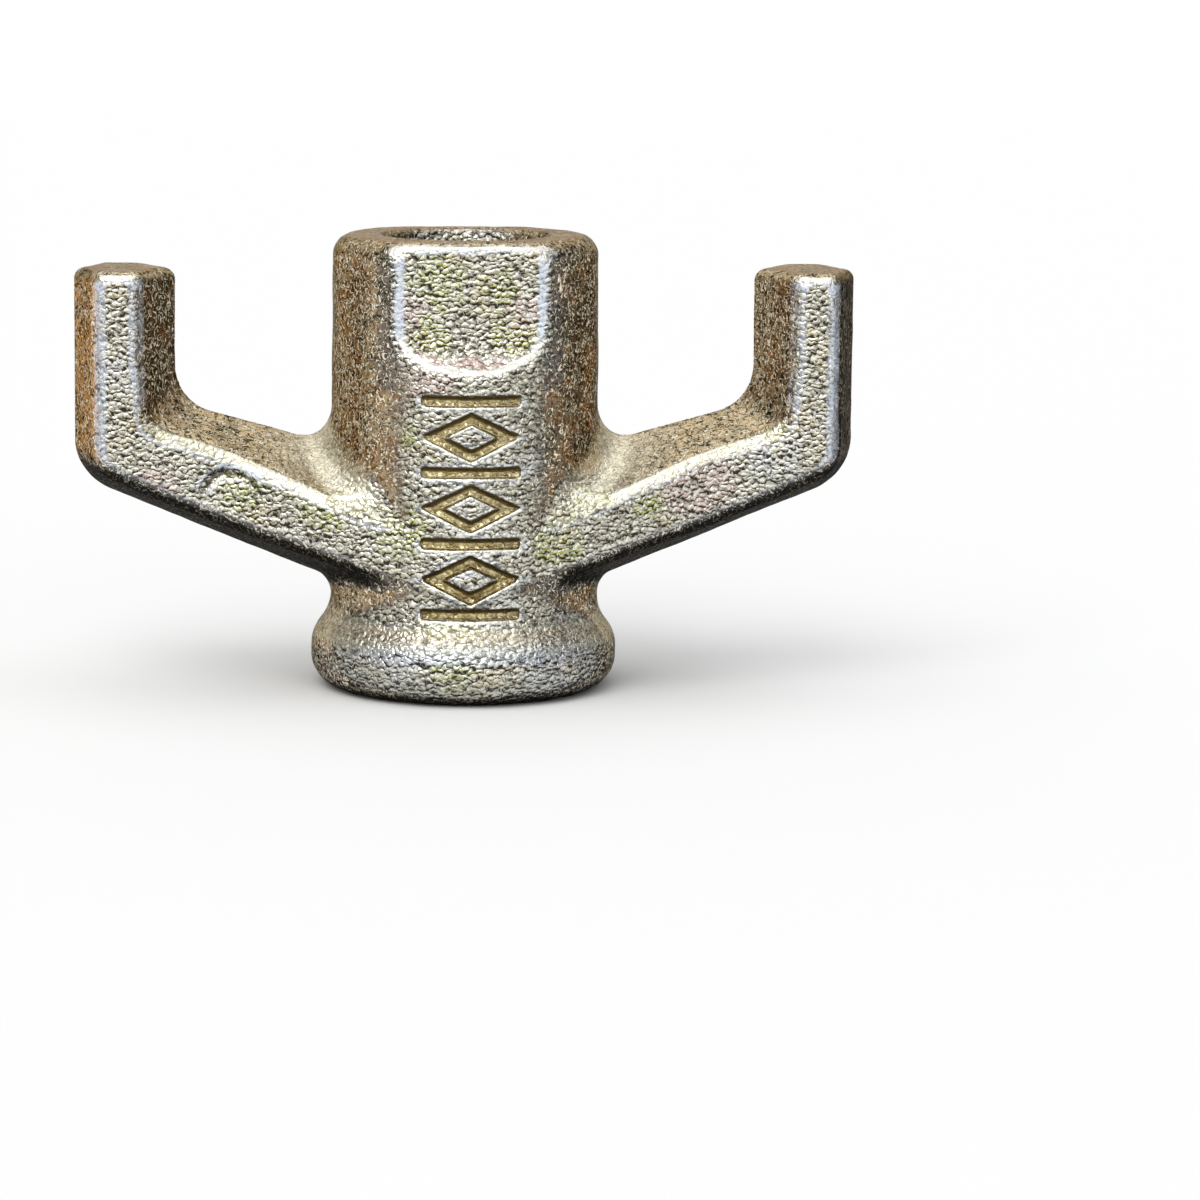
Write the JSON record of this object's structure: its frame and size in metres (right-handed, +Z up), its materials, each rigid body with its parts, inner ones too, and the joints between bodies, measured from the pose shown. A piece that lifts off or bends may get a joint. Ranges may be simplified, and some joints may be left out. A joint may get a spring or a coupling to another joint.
{
  "type": "formwork wing nut",
  "caption": "Forged wing nut for 15 mm formwork tie rods: a flanged round barrel with wrench flats, raised wings and a coarse threaded bore.",
  "frame": {"origin": "centre of the bore on the plane of the seat", "axes": "+Z up along the bore away from the seat, +X through both wings, +Y towards the unmarked side"},
  "size_m": [0.0968, 0.0382, 0.0564],
  "materials": {
    "yellow_zinc": "rough forged steel with a yellow chromate zinc plating"
  },
  "bodies": {
    "root": {"wing_nut": "yellow_zinc"}
  },
  "joints": []
}
